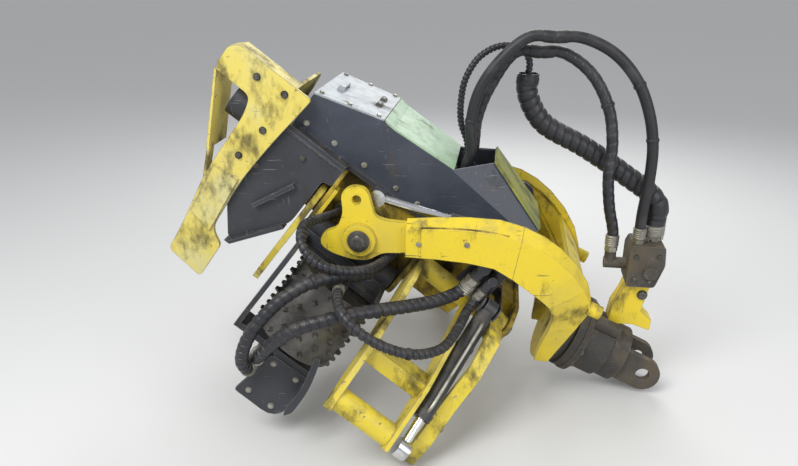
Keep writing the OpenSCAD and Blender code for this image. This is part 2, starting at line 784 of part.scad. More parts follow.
module front_knife(side) {
    color(worn_yellow) head_frame() on_side(side) difference() {
        union() {
            cross_plate([[-190, 42], [-375, 22], [-473, -71], [-519, -190], [-584, -306], [-594, -396],
                [-570, -396], [-555, -306], [-495, -190], [-450, -60], [-365, -5], [-190, -42]], knife_x, knife_w);
            bar_x_at(hub_rear_x + 2, frame_front - 2, -knife_pivot_y, -knife_pivot_drop, knife_hub_d);
            cross_plate(knife_rib, hub_rear_x + 2, 20);
            cross_plate(knife_rib, 428, 15);
            bar_x_at(hub_rear_x + 10, 430, knife_eye[0] + 20, knife_eye[1], 76);
            block([hub_rear_x + 10, -550, -220], [430, -485, -160]);
        }
        bar_x_at(0, 700, -knife_pivot_y, -knife_pivot_drop, knife_pin_d);
    }
}

knife_vec = knife_eye - knife_base;
knife_len = norm(knife_vec);
knife_ang = atan2(knife_vec[1], knife_vec[0]);

// Local frame of a knife cylinder: origin at its base pin, x down the rod
module knife_cyl_frame(side) {
    head_frame() on_side(side) translate([cyl_x, knife_base[0], knife_base[1]])
        rotate([0, 0, 90]) rotate([0, -knife_ang, 0]) children();
}

module knife_barrel(side) {
    color(dark_paint) knife_cyl_frame(side) difference() {
        union() {
            rotate([90, 0, 0]) cylinder(h = 40, d = 64, center = true);
            rotate([0, 90, 0]) translate([0, 0, 20]) cylinder(h = 400, d = barrel_d);
        }
        rotate([90, 0, 0]) cylinder(h = 80, d = 32, center = true);
        rotate([0, 90, 0]) translate([0, 0, 200]) cylinder(h = 300, d = rod_d + 2 * run_fit);
    }
}

module knife_rod(side) {
    color(chrome_rod) knife_cyl_frame(side) union() {
        rotate([0, 90, 0]) translate([0, 0, 230]) cylinder(h = knife_len - 250, d = rod_d);
        translate([knife_len, 0, 0]) rotate([90, 0, 0]) cylinder(h = 40, d = 60, center = true);
    }
}

module rear_knife(side) {
    color(worn_yellow) head_frame() on_side(side) difference() {
        union() {
            cross_plate([[-187, 16], [-222, -20], [-268, -120], [-285, -240], [-240, -370], [-170, -450],
                [-195, -370], [-235, -250], [-228, -140], [-187, -56]], -200, 22);
            bar_x_at(-200, -178, rear_pivot[0], rear_pivot[1], 76);
        }
        bar_x_at(-600, 0, rear_pivot[0], rear_pivot[1], 40);
    }
}

// Tilt cylinders inside the arms
tilt_eye = [-36, 128];
tilt_base = [420, 315];
tilt_cyl_y = 278;
tilt_vec = tilt_eye - tilt_base;
tilt_len = norm(tilt_vec);
tilt_ang = atan2(tilt_vec[1], tilt_vec[0]);

module tilt_cyl_frame(side) {
    head_frame() on_side(side) translate([tilt_base[0], -tilt_cyl_y, tilt_base[1]]) rotate([0, -tilt_ang, 0])
        children();
}

module tilt_barrel(side) {
    color(dark_paint) tilt_cyl_frame(side) difference() {
        union() {
            rotate([90, 0, 0]) cylinder(h = 36, d = 60, center = true);
            rotate([0, 90, 0]) translate([0, 0, 20]) cylinder(h = 230, d = 46);
        }
        rotate([90, 0, 0]) cylinder(h = 80, d = 30, center = true);
        rotate([0, 90, 0]) translate([0, 0, 120]) cylinder(h = 300, d = 30 + 2 * run_fit);
    }
}

module tilt_rod(side) {
    color(chrome_rod) tilt_cyl_frame(side) union() {
        rotate([0, 90, 0]) translate([0, 0, 140]) cylinder(h = tilt_len - 160, d = 30);
        translate([tilt_len, 0, 0]) rotate([90, 0, 0]) cylinder(h = 36, d = 56, center = true);
    }
}

meas_pivot = [-190, -75];
meas_axle = [-256, -118];

module measuring_arm() {
    color(dark_paint) head_frame() difference() {
        union() {
            bar_y_at(-10, 8, meas_pivot[0], meas_pivot[1], 40);
            bar_y_at(-10, 8, meas_axle[0], meas_axle[1], 36);
            side_plate([[-196, -94], [-262, -136], [-250, -100], [-184, -56]], -10, 18);
            bar_y_at(7, 40, meas_axle[0], meas_axle[1], 20 - 2 * run_fit);
        }
        bar_y_at(-20, 20, meas_pivot[0], meas_pivot[1], 20);
    }
}

module measuring_wheel() {
    color(steel) head_frame() difference() {
        bar_y_at(12, 38, meas_axle[0], meas_axle[1], 100);
        bar_y_at(0, 50, meas_axle[0], meas_axle[1], 20);
    }
}

// Point of the head frame in the row frame
function on_head(p) = [
    -tilt_back + p[0] * cos(head_pitch) + p[2] * sin(head_pitch), p[1],
    tilt_up - p[0] * sin(head_pitch) + p[2] * cos(head_pitch)
];
// Point of the near feed arm's frame in the head frame
function on_arm(p) = [
    p[0], feed_pivot[0] + p[1] * cos(arm_spread) + p[2] * sin(arm_spread),
    feed_pivot[1] - p[1] * sin(arm_spread) + p[2] * cos(arm_spread)
];

// Hoses over the tilt joint, in the row frame. They part at an apex over the tilt frame.
outer_d = 38;
outer_apex = [-402, -50, 1183];
outer_up = [
    on_head([elbow_x, -50, elbow_top + seat_gap]), on_head([elbow_x, -50, 300]), [-653, -55, 800],
    [-658, -60, 900], [-634, -60, 1010], [-570, -60, 1110], [-480, -50, 1183], outer_apex
];
outer_down = [
    outer_apex + [seat_gap, 0, 0], [-325, -50, 1183], [-222, -41, 1138], [-140, -36, 1055],
    [-88, -32, 950], [-62, -30, 840], [-58, -30, 725], [-66, -30, 600],
    [-66, -30, block_head + seat_gap]
];
inner_d = 40;
inner_apex = [-440, 0, 1130];
inner_up = [
    on_head([elbow_x, 12, elbow_top + seat_gap]), on_head([elbow_x, 12, 300]), [-650, 12, 795],
    [-640, 12, 900], [-604, 12, 1005], [-520, 0, 1130], inner_apex
];
inner_down = [
    inner_apex + [seat_gap, 0, 0], [-375, 0, 1130], [-280, -6, 1068], [-214, -12, 960],
    [-188, -12, 840], [-188, -10, 720], [-172, -3, 610], [-150, 0, 520], [-150, 0, 450 + seat_gap]
];
thin_d = 24;
sleeve_mouth = [-475, 75, 1050];
thin_route = [
    on_head([elbow_x, 60, elbow_top + seat_gap]), on_head([elbow_x, 60, 300]), [-672, 58, 800],
    [-696, 50, 880], [-698, 40, 960], [-684, 40, 1035], [-640, 50, 1105], [-570, 66, 1140],
    [-500, 75, 1128], [-475, 75, 1090], sleeve_mouth + [0, 0, seat_gap]
];
sleeve_d = 72;
sleeve_route = [
    sleeve_mouth, [-475, 75, 985], [-420, 70, 888], [-270, 58, 806], [-130, 42, 720], [-16, 22, 630],
    [-16, 22, block_head + seat_gap]
];

// Hoses on the near side, in the head frame
frame_d = 30;
side_wall = -frame_half - seat_gap;
frame_route = [
    [-105, side_wall, -25], [-105, -225, -25], [-138, -325, -32], [-166, -420, -44], [-140, -478, -64],
    [-75, -500, -76], [0, -494, -52], [66, -437, -25], [102, -350, -10], [128, -255, 16],
    [140, -205, 34], [140, side_wall, 34]
];
upper_d = 42;
upper_route = [
    on_arm([-28, port_y - seat_gap, port_z[1]]), on_arm([-28, -245, port_z[1]]), [-62, -580, -464],
    [-92, -598, -365], [-92, -572, -260], [-62, -535, -160], [-8, -482, -95], [60, -405, -74],
    [104, -310, -64], [110, -215, -32], [110, side_wall, -32]
];
lower_d = 44;
lower_route = [
    on_arm([-28, port_y - seat_gap, port_z[0]]), on_arm([-28, -245, port_z[0]]), [-28, -586, -386],
    [-20, -604, -312], [5, -608, -230], [70, -580, -148], [152, -520, -84], [235, -450, -36],
    [312, -372, 6], [360, -305, 40], [374, -290, 78], [374, -290, 120 - seat_gap]
];
knife_hose_d = 32;
knife_route = [
    on_arm([40, -235 - seat_gap, -58.5]), on_arm([40, -290, -58.5]), [72, -610, -98], [150, -638, -98],
    [240, -625, -92], [325, -585, -75], [392, -515, -40], [412, -425, 0], [420, -335, 26],
    [424, -290, 66], [424, -290, 102 - seat_gap]
];

module outer_hose_up() {
    color(rubber) hose(outer_up, outer_d);
}

module outer_hose_down() {
    color(rubber) hose(outer_down, outer_d);
}

module inner_hose_up() {
    color(rubber) hose(inner_up, inner_d);
}

module inner_hose_down() {
    color(rubber) hose(inner_down, inner_d);
}

module thin_hose() {
    color(rubber) hose(thin_route, thin_d);
}

module hose_sleeve() {
    color(rubber) hose(sleeve_route, sleeve_d);
}

module frame_hose() {
    color(rubber) head_frame() hose(frame_route, frame_d);
}

module motor_hose_upper() {
    color(rubber) head_frame() hose(upper_route, upper_d);
}

module motor_hose_lower() {
    color(rubber) head_frame() hose(lower_route, lower_d);
}

module knife_hose() {
    color(rubber) head_frame() hose(knife_route, knife_hose_d);
}

main_frame();
belly_plate();
deck_plate();
front_nose();
side_panel("right");  // side_panel_right
side_panel("left");  // side_panel_left
pin_bracket("right");  // pin_bracket_right
pin_bracket("left");  // pin_bracket_left
tilt_stand("right");  // tilt_stand_right
tilt_stand("left");  // tilt_stand_left
wheel_bearing();
saw_box();
saw_motor();
saw_bar();
valve_block();
fixed_knife();
lifting_lug();
cover_side("right");  // cover_side_right
cover_side("left");  // cover_side_left
cover_rear_plate();
cover_front_plate();
hose_guard();
tilt_frame();
tilt_arm("right");  // tilt_arm_right
tilt_arm("left");  // tilt_arm_left
rotor_flange();
rotator();
hose_block();
hose_bracket();
roller_arm("right");  // roller_arm_right
roller_arm("left");  // roller_arm_left
roller_motor("right");  // roller_motor_right
roller_motor("left");  // roller_motor_left
feed_roller("right");  // feed_roller_right
feed_roller("left");  // feed_roller_left
front_knife("right");  // front_knife_right
front_knife("left");  // front_knife_left
knife_barrel("right");  // knife_barrel_right
knife_barrel("left");  // knife_barrel_left
knife_rod("right");  // knife_rod_right
knife_rod("left");  // knife_rod_left
rear_knife("right");  // rear_knife_right
rear_knife("left");  // rear_knife_left
tilt_barrel("right");  // tilt_barrel_right
tilt_barrel("left");  // tilt_barrel_left
tilt_rod("right");  // tilt_rod_right
tilt_rod("left");  // tilt_rod_left
measuring_arm();
measuring_wheel();
outer_hose_up();
outer_hose_down();
inner_hose_up();
inner_hose_down();
thin_hose();
hose_sleeve();
frame_hose();
motor_hose_upper();
motor_hose_lower();
knife_hose();
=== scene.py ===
"""Looks of a harvester head that lies on its opened arms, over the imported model."""

import math

import bmesh
import bpy
from mathutils import Matrix, Vector


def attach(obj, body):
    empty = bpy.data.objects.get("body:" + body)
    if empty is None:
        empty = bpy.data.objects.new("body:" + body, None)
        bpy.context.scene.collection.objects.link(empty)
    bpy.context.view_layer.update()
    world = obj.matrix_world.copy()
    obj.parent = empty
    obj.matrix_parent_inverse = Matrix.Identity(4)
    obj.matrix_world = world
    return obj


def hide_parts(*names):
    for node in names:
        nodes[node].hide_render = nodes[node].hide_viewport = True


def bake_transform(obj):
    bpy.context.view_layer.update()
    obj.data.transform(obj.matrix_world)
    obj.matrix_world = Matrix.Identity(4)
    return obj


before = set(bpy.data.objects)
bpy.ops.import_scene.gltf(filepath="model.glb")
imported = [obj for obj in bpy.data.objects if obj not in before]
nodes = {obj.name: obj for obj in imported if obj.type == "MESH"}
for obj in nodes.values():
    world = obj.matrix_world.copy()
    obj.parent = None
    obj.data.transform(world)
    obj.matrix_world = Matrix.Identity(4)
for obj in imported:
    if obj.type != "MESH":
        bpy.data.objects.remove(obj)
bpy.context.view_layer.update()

# Driving sizes of the model, in millimetres and degrees
MM = 0.001
TILT_BACK = 985
TILT_UP = 580
HEAD_PITCH = 37.5
ROTATOR_PITCH = 24.8
ARM_SPREAD = 12
FEED_PIVOT = (0, -205, -116)
SEAT_GAP = 0.3
FRAME_HALF = 145
REAR_HALF = 240
BACK_RISE = 125
NOSE_FRONT = 606
ARM_OUTER = 360
TILT_PIN_END = 358
COVER_WIDE = 205
COVER_SLIM = 155
COVER_REAR = -395
COVER_LENGTH = 499
COVER_T = 10
PLATE_LOW = 249.3
PLATE_SLOPE = (309 - 242) / (395 - 167)
STAND_OUTER = 250
KNIFE_PIVOT_Y = 190
KNIFE_FACE = 565
CYLINDER_X = 480
CYLINDER_BASE = (285, 60)
CYLINDER_EYE = (650, -328)
BARREL_R = 28.5
ROLLER_OFF = 110
ROLLER_X = 40
GUARD_FACE = ROLLER_OFF + 96
MOTOR_FOOT = -470
MOTOR_BOLT_CIRCLE = 52
SAW_FACE = -262
VALVE_SIDE = -110
RIM_FACE = -255
RIM_CIRCLE = 134
RIM_BOLTS = 12
BLOCK_FACE = -62
BAR_X = -476
BAR_HALF = 46
BAR_LENGTH = 600
SAW_PIVOT = (-170, 60)

# Frames of the model: row, tilt axis, head, near feed arm and rotator
ROW = Matrix.Identity(4)
YOKE = Matrix.Translation(Vector((-TILT_BACK, 0, TILT_UP)))
HEAD = YOKE @ Matrix.Rotation(math.radians(HEAD_PITCH), 4, "Y")
ARM = HEAD @ Matrix.Translation(Vector(FEED_PIVOT)) @ Matrix.Rotation(math.radians(-ARM_SPREAD), 4, "X")
ROTATOR = Matrix.Rotation(math.radians(ROTATOR_PITCH), 4, "Y")
MIRROR = Matrix.Scale(-1, 4, (0, 1, 0))


def place(at, point):
    """Point in millimetres of one of the frames, as metres of the row frame."""
    return (at @ Vector(point)) * MM


def turn(at, direction):
    """Direction of one of the frames in the row frame."""
    return (at.to_3x3() @ Vector(direction)).normalized()


# Camera at the photograph's place: columns right, up, back and location, in metres
SENSOR = 36
LENS = 31.58
CAMERA_PLACE = Matrix((
    (0.9894, -0.0538, 0.1355, -0.5589),
    (0.1458, 0.3652, -0.9195, -2.3655),
    (0.0, 0.9294, 0.3691, 1.4217),
    (0, 0, 0, 1),
))
camera_data = bpy.data.cameras.new("camera")
camera_data.sensor_width = SENSOR
camera_data.lens = LENS
camera = bpy.data.objects.new("camera", camera_data)
bpy.context.scene.collection.objects.link(camera)
camera.matrix_world = CAMERA_PLACE
bpy.context.scene.camera = camera
bpy.context.scene.view_settings.view_transform = "Standard"


# Materials

def srgb(red, green, blue):
    """Colour from 0 to 255 as the shader's linear colour."""
    return tuple(((c / 255 + 0.055) / 1.055) ** 2.4 for c in (red, green, blue)) + (1,)


class Finish:
    """Node-built material: a colour that masks change, with roughness and bump."""

    def __init__(self, name, rough, metal=0.0):
        self.material = bpy.data.materials.new(name)
        self.material.use_nodes = True
        self.tree = self.material.node_tree
        self.shader = self.tree.nodes["Principled BSDF"]
        self.shader.inputs["Metallic"].default_value = metal
        self.coords = self.add("ShaderNodeTexCoord").outputs["Object"]
        self.colour = None
        self.rough = self.number(rough)
        self.height = None

    def add(self, kind, **settings):
        node = self.tree.nodes.new(kind)
        for key, value in settings.items():
            setattr(node, key, value)
        return node

    def number(self, value):
        node = self.add("ShaderNodeValue")
        node.outputs[0].default_value = value
        return node.outputs[0]

    def noise(self, scale, detail=4, stretch=(1, 1, 1), rough=0.55):
        """Noise whose scale is in waves a metre."""
        mapping = self.add("ShaderNodeMapping")
        mapping.inputs["Scale"].default_value = stretch
        self.tree.links.new(self.coords, mapping.inputs["Vector"])
        node = self.add("ShaderNodeTexNoise")
        node.inputs["Scale"].default_value = scale
        node.inputs["Detail"].default_value = detail
        node.inputs["Roughness"].default_value = rough
        self.tree.links.new(mapping.outputs[0], node.inputs["Vector"])
        return node.outputs["Fac"]

    def between(self, value, low, high):
        """0 below low, 1 above high."""
        node = self.add("ShaderNodeMapRange", interpolation_type="SMOOTHSTEP")
        node.inputs["From Min"].default_value = low
        node.inputs["From Max"].default_value = high
        self.tree.links.new(value, node.inputs["Value"])
        return node.outputs["Result"]

    def math(self, operation, a, b):
        node = self.add("ShaderNodeMath", operation=operation)
        for socket, value in zip(node.inputs, (a, b)):
            if isinstance(value, (int, float)):
                socket.default_value = value
            else:
                self.tree.links.new(value, socket)
        return node.outputs[0]

    def edges(self, radius):
        """Mask of the edges and corners."""
        bevel = self.add("ShaderNodeBevel", samples=6)
        bevel.inputs["Radius"].default_value = radius
        geometry = self.add("ShaderNodeNewGeometry")
        product = self.add("ShaderNodeVectorMath", operation="DOT_PRODUCT")
        self.tree.links.new(bevel.outputs[0], product.inputs[0])
        self.tree.links.new(geometry.outputs["Normal"], product.inputs[1])
        return self.math("SUBTRACT", 1.0, product.outputs["Value"])

    def upward(self):
        """Mask of the faces that look up."""
        geometry = self.add("ShaderNodeNewGeometry")
        split = self.add("ShaderNodeSeparateXYZ")
        self.tree.links.new(geometry.outputs["Normal"], split.inputs[0])
        return self.between(split.outputs["Z"], 0.1, 0.95)

    def paint(self, colour, mask=None, rough=None):
        """Lays a colour over the rest, where the mask is 1."""
        if mask is None:
            node = self.add("ShaderNodeRGB")
            node.outputs[0].default_value = colour
            self.colour = node.outputs[0]
            return self
        node = self.add("ShaderNodeMix", data_type="RGBA")
        self.tree.links.new(mask, node.inputs[0])
        self.tree.links.new(self.colour, node.inputs[6])
        node.inputs[7].default_value = colour
        self.colour = node.outputs[2]
        if rough is not None:
            blend = self.add("ShaderNodeMix", data_type="FLOAT")
            self.tree.links.new(mask, blend.inputs[0])
            self.tree.links.new(self.rough, blend.inputs[2])
            blend.inputs[3].default_value = rough
            self.rough = blend.outputs[0]
        return self

    def raise_by(self, value, amount):
        """Adds a height in millimetres to the bump."""
        scaled = self.math("MULTIPLY", value, amount)
        self.height = scaled if self.height is None else self.math("ADD", self.height, scaled)
        return self

    def done(self):
        self.tree.links.new(self.colour, self.shader.inputs["Base Color"])
        self.tree.links.new(self.rough, self.shader.inputs["Roughness"])
        if self.height is not None:
            bump = self.add("ShaderNodeBump")
            bump.inputs["Distance"].default_value = MM
            self.tree.links.new(self.height, bump.inputs["Height"])
            self.tree.links.new(bump.outputs[0], self.shader.inputs["Normal"])
        return self.material


def painted(name, colour, faded, chip, dirt, rough=0.42, wear=0.5, dirty=0.5):
    """Paint on steel: faded patches, scratches, chipped edges, dust above and caked dirt."""
    f = Finish(name, rough)
    f.paint(colour)
    # faded patches and fine mottling
    f.paint(faded, f.between(f.noise(5, 6), 0.42, 0.72), rough + 0.12)
    f.paint(faded, f.between(f.noise(260, 2), 0.55, 0.75))
    # scratches two ways, in patches
    scratch = f.between(f.noise(16, 2, (0.5, 1, 14)), 0.69, 0.71)
    across = f.between(f.noise(14, 2, (12, 1, 0.7)), 0.70, 0.72)
    patches = f.between(f.noise(9, 3), 0.45, 0.6)
    f.paint(chip, f.math("MULTIPLY", f.math("MAXIMUM", scratch, across), patches))
    # chipped edges and spots
    grain = f.noise(70, 6)
    edge = f.math("ADD", f.edges(0.005), f.math("MULTIPLY", grain, 0.35))
    chipped = f.between(edge, 0.42 - 0.16 * wear, 0.46 - 0.16 * wear)
    f.paint(chip, chipped, 0.55)
    spots = f.between(f.noise(34, 8, rough=0.7), 0.70 - 0.07 * wear, 0.72 - 0.07 * wear)
    f.paint(chip, spots, 0.6)
    # caked dirt, and dust on what looks up
    caked = f.between(f.noise(8, 10, (1, 1, 0.55), rough=0.68), 0.63 - 0.2 * dirty, 0.8 - 0.2 * dirty)
    f.paint(dirt, f.math("MULTIPLY", caked, 0.85), 0.85)
    dust = f.math("MULTIPLY", f.upward(), f.between(f.noise(26, 8), 0.38, 0.75))
    f.paint(srgb(128, 116, 92), f.math("MULTIPLY", dust, 0.45 * dirty + 0.1), 0.9)
    f.raise_by(grain, 0.25)
    f.raise_by(f.noise(420, 3), 0.10)
    f.raise_by(chipped, -0.35)
    f.raise_by(caked, 0.7)
    return f.done()


def bare(name, colour, stain, rough=0.35, metal=0.85, rust=0.3):
    """Bare metal with stains, fine scratches and some rust."""
    f = Finish(name, rough, metal)
    f.paint(colour)
    f.paint(stain, f.between(f.noise(12, 8, rough=0.65), 0.4, 0.7), rough + 0.25)
    f.paint(colour, f.between(f.noise(30, 2, (0.4, 1, 16)), 0.6, 0.66), rough)
    rusty = f.between(f.noise(22, 9, rough=0.7), 0.74 - 0.2 * rust, 0.86 - 0.2 * rust)
    f.paint(srgb(104, 66, 40), f.math("MULTIPLY", rusty, 0.7), 0.85)
    f.paint(srgb(60, 54, 46), f.between(f.noise(60, 8), 0.62, 0.8), 0.8)
    f.raise_by(f.noise(90, 6), 0.22)
    f.raise_by(rusty, 0.3)
    return f.done()


def rubber(name, colour, rough=0.5):
    """Black rubber or plastic wrap, dusty above, with pale scuffs."""
    f = Finish(name, rough)
    f.paint(colour)
    f.paint(srgb(74, 74, 76), f.math("MULTIPLY", f.between(f.noise(14, 6), 0.5, 0.8), 0.5), 0.6)
    dust = f.math("MULTIPLY", f.upward(), f.between(f.noise(30, 8), 0.35, 0.8))
    f.paint(srgb(112, 104, 90), f.math("MULTIPLY", dust, 0.4), 0.85)
    f.paint(srgb(96, 96, 98), f.between(f.noise(60, 3, (1, 1, 5)), 0.72, 0.78), 0.55)
    f.raise_by(f.noise(180, 5), 0.15)
    return f.done()


YELLOW_DIRT = srgb(58, 50, 34)
FINISHES = {
    "frame_yellow": painted("frame_yellow", srgb(222, 196, 40), srgb(208, 186, 66), srgb(84, 80, 70),
                            YELLOW_DIRT, wear=0.6, dirty=0.62),
    "faded_yellow": painted("faded_yellow", srgb(214, 196, 92), srgb(204, 196, 136), srgb(112, 108, 98),
                            YELLOW_DIRT, rough=0.5, wear=0.95, dirty=0.78),
    "dirty_yellow": painted("dirty_yellow", srgb(196, 168, 34), srgb(176, 154, 60), srgb(70, 66, 58),
                            srgb(44, 40, 30), rough=0.5, wear=0.8, dirty=1.15),
    "worn_yellow": painted("worn_yellow", srgb(216, 194, 52), srgb(206, 190, 96), srgb(120, 116, 106),
                           YELLOW_DIRT, rough=0.45, wear=0.95, dirty=0.85),
    "dark_paint": painted("dark_paint", srgb(46, 48, 53), srgb(58, 60, 66), srgb(122, 122, 120),
                          srgb(50, 45, 36), rough=0.45, wear=0.35, dirty=0.5),
    "slate_paint": painted("slate_paint", srgb(52, 57, 68), srgb(66, 71, 82), srgb(126, 128, 132),
                           srgb(70, 68, 60), rough=0.4, wear=0.2, dirty=0.25),
    "dusty_black": painted("dusty_black", srgb(52, 50, 48), srgb(84, 78, 70), srgb(120, 116, 108),
                           srgb(88, 78, 60), rough=0.6, wear=0.5, dirty=0.8),
    "bare_plate": painted("bare_plate", srgb(150, 158, 164), srgb(176, 182, 184), srgb(92, 92, 90),
                          srgb(84, 84, 74), rough=0.4, wear=0.3, dirty=0.45),
    "cover_green": painted("cover_green", srgb(152, 184, 150), srgb(176, 200, 172), srgb(122, 132, 112),
                           srgb(84, 98, 62), rough=0.4, wear=0.3, dirty=0.5),
    "olive_lid": painted("olive_lid", srgb(150, 150, 62), srgb(122, 130, 72), srgb(88, 90, 76),
                         srgb(80, 86, 50), rough=0.6, wear=0.4, dirty=0.75),
    "steel": bare("steel", srgb(112, 110, 106), srgb(64, 60, 54), rough=0.45, rust=0.5),
    "saw_steel": bare("saw_steel", srgb(140, 140, 140), srgb(84, 78, 70), rough=0.35, rust=0.4),
    "chrome_rod": bare("chrome_rod", srgb(226, 228, 230), srgb(170, 168, 164), rough=0.14, metal=1.0,
                       rust=0.0),
    "zinc": bare("zinc", srgb(168, 166, 156), srgb(110, 106, 94), rough=0.4, metal=0.8, rust=0.1),
    "hose_black": rubber("hose_black", srgb(30, 31, 34)),
    "wrap_black": rubber("wrap_black", srgb(36, 37, 42), rough=0.42),
}

# Finish of each node, by the start of its name; the first that fits holds
NODE_FINISH = [
    ("saw_box", "faded_yellow"), ("saw_motor", "dark_paint"), ("saw_bar", "saw_steel"),
    ("front_knife", "worn_yellow"), ("rear_knife", "worn_yellow"), ("lifting_lug", "frame_yellow"),
    ("cover_side", "slate_paint"), ("cover_rear", "bare_plate"), ("cover_front", "cover_green"),
    ("hose_guard", "olive_lid"), ("tilt_frame", "frame_yellow"), ("tilt_arm", "frame_yellow"),
    ("rotor", "dusty_black"), ("rotator", "dusty_black"), ("hose_block", "dusty_black"),
    ("hose_bracket", "frame_yellow"), ("main_frame", "dirty_yellow"), ("belly_plate", "dirty_yellow"),
    ("front_nose", "dirty_yellow"), ("pin_bracket", "dirty_yellow"), ("valve_block", "steel"),
    ("fixed_knife", "steel"), ("wheel_bearing", "steel"), ("feed_roller", "steel"),
    ("measuring_wheel", "steel"), ("knife_rod", "chrome_rod"), ("tilt_rod", "chrome_rod"),
    ("deck_plate", "dark_paint"), ("side_panel", "dark_paint"), ("tilt_stand", "dark_paint"),
    ("roller", "dark_paint"), ("knife_barrel", "dark_paint"), ("tilt_barrel", "dark_paint"),
    ("measuring_arm", "dark_paint"),
]
for name, obj in nodes.items():
    finish = next((f for start, f in NODE_FINISH if name.startswith(start)), "hose_black")
    if not obj.material_slots:
        obj.data.materials.append(None)
    for slot in obj.material_slots:
        slot.material = FINISHES[finish]


# Mesh tools

def piece(name, bm, finish, body=None, smooth=True):
    """Object from a bmesh in metres of the row frame."""
    bmesh.ops.recalc_face_normals(bm, faces=bm.faces)
    mesh = bpy.data.meshes.new(name)
    bm.to_mesh(mesh)
    bm.free()
    if smooth:
        mesh.shade_smooth()
    obj = bpy.data.objects.new(name, mesh)
    bpy.context.scene.collection.objects.link(obj)
    mesh.materials.append(FINISHES[finish])
    if smooth:
        mesh.set_sharp_from_angle(angle=math.radians(40))
    if body:
        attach(obj, body)
    return obj


def smooth_route(points, step):
    """Even points, step apart, on a smooth curve through the given ones."""
    p = [2 * points[0] - points[1]] + points + [2 * points[-1] - points[-2]]
    dense = []
    for i in range(1, len(p) - 2):
        t0 = 0
        t1 = t0 + math.sqrt((p[i] - p[i - 1]).length)
        t2 = t1 + math.sqrt((p[i + 1] - p[i]).length)
        t3 = t2 + math.sqrt((p[i + 2] - p[i + 1]).length)
        for k in range(40):
            t = t1 + (t2 - t1) * k / 40
            a = [((t1 - t) * p[i - 1] + (t - t0) * p[i]) / (t1 - t0),
                 ((t2 - t) * p[i] + (t - t1) * p[i + 1]) / (t2 - t1),
                 ((t3 - t) * p[i + 1] + (t - t2) * p[i + 2]) / (t3 - t2)]
            b = [((t2 - t) * a[0] + (t - t0) * a[1]) / (t2 - t0),
                 ((t3 - t) * a[1] + (t - t1) * a[2]) / (t3 - t1)]
            dense.append(((t2 - t) * b[0] + (t - t1) * b[1]) / (t2 - t1))
    dense.append(points[-1])
    lengths = [0]
    for a, b in zip(dense, dense[1:]):
        lengths.append(lengths[-1] + (b - a).length)
    count = max(2, round(lengths[-1] / step))
    even, j = [], 0
    for i in range(count + 1):
        s = lengths[-1] * i / count
        while j < len(lengths) - 2 and lengths[j + 1] < s:
            j += 1
        share = (s - lengths[j]) / max(1e-9, lengths[j + 1] - lengths[j])
        even.append(dense[j].lerp(dense[j + 1], share))
    return even, lengths[-1]


class Route:
    """Curve that can be asked for its place and sides at any length along it."""

    def __init__(self, points, step=0.004):
        self.points, self.length = smooth_route(points, step)
        self.step = self.length / (len(self.points) - 1)
        self.along = [(b - a).normalized() for a, b in zip(self.points, self.points[1:])]
        self.along.append(self.along[-1])
        side = self.along[0].orthogonal().normalized()
        self.sides = []
        for direction in self.along:
            side = (side - side.dot(direction) * direction).normalized()
            self.sides.append(side)

    def at(self, s, angle, radius):
        s = min(max(s, 0), self.length)
        i = min(int(s / self.step), len(self.points) - 2)
        share = s / self.step - i
        centre = self.points[i].lerp(self.points[i + 1], share)
        side = self.sides[i].lerp(self.sides[i + 1], share).normalized()
        other = self.along[i].lerp(self.along[i + 1], share).normalized().cross(side)
        return centre + radius * (math.cos(angle) * side + math.sin(angle) * other)


def wrapped_tube(route, diameter, pitch, profile, sides):
    """Tube whose surface winds round it: profile rows are share of the pitch and height."""
    bm = bmesh.new()
    turns = int(route.length / pitch) + 2
    rows = [(turn_no + share, height) for turn_no in range(-1, turns) for share, height in profile]
    grid = []
    for place_no, height in rows:
        ring = []
        for k in range(sides + 1):
            s = min(max((place_no + k / sides) * pitch, 0), route.length)
            ring.append(bm.verts.new(route.at(s, 2 * math.pi * k / sides, diameter / 2 + height)))
        grid.append(ring)
    for a, b in zip(grid, grid[1:]):
        for k in range(sides):
            bm.faces.new((a[k], a[k + 1], b[k + 1], b[k]))
    bmesh.ops.remove_doubles(bm, verts=bm.verts, dist=2e-5)
    bmesh.ops.holes_fill(bm, edges=[e for e in bm.edges if e.is_boundary], sides=0)
    return bm


def skin(bm, grid):
    """Faces through a row of closed rings, with both ends capped."""
    for a, b in zip(grid, grid[1:]):
        for k in range(len(a)):
            after = (k + 1) % len(a)
            bm.faces.new((a[k], a[after], b[after], b[k]))
    bm.faces.new(grid[0][::-1])
    bm.faces.new(grid[-1])


def tube_ring(bm, route, s, radius, sides):
    """Ring of a round tube at one length of its route."""
    return [bm.verts.new(route.at(s, 2 * math.pi * k / sides, radius)) for k in range(sides)]


def plain_tube(route, diameter, sides=20, bulge=None):
    """Round tube along a route; bulge gives a height at each length."""
    rings = len(route.points)
    bm = bmesh.new()
    grid = []
    for i in range(rings):
        s = route.length * i / (rings - 1)
        height = bulge(s) if bulge else 0
        grid.append(tube_ring(bm, route, s, diameter / 2 + height, sides))
    skin(bm, grid)
    return bm


def axes_to(at, axis):
    """Matrix that puts z on the axis, at a point, both in the row frame."""
    return Matrix.Translation(at) @ Vector(axis).to_track_quat("Z", "Y").to_matrix().to_4x4()


def revolve(bm, rows, at, axis, sides=24, flat=()):
    """Adds a turned body: rows of height and radius; flat gives the rows that are hexagons."""
    matrix = axes_to(at, axis)
    sixth = math.pi / 3
    grid = []
    for row_no, (height, radius) in enumerate(rows):
        ring = []
        for k in range(sides):
            a = 2 * math.pi * k / sides
            r = radius
            if row_no in flat:
                r = radius * math.cos(sixth / 2) / math.cos((a + sixth / 2) % sixth - sixth / 2)
            ring.append(bm.verts.new(matrix @ Vector((r * math.cos(a), r * math.sin(a), height))))
        grid.append(ring)
    skin(bm, grid)


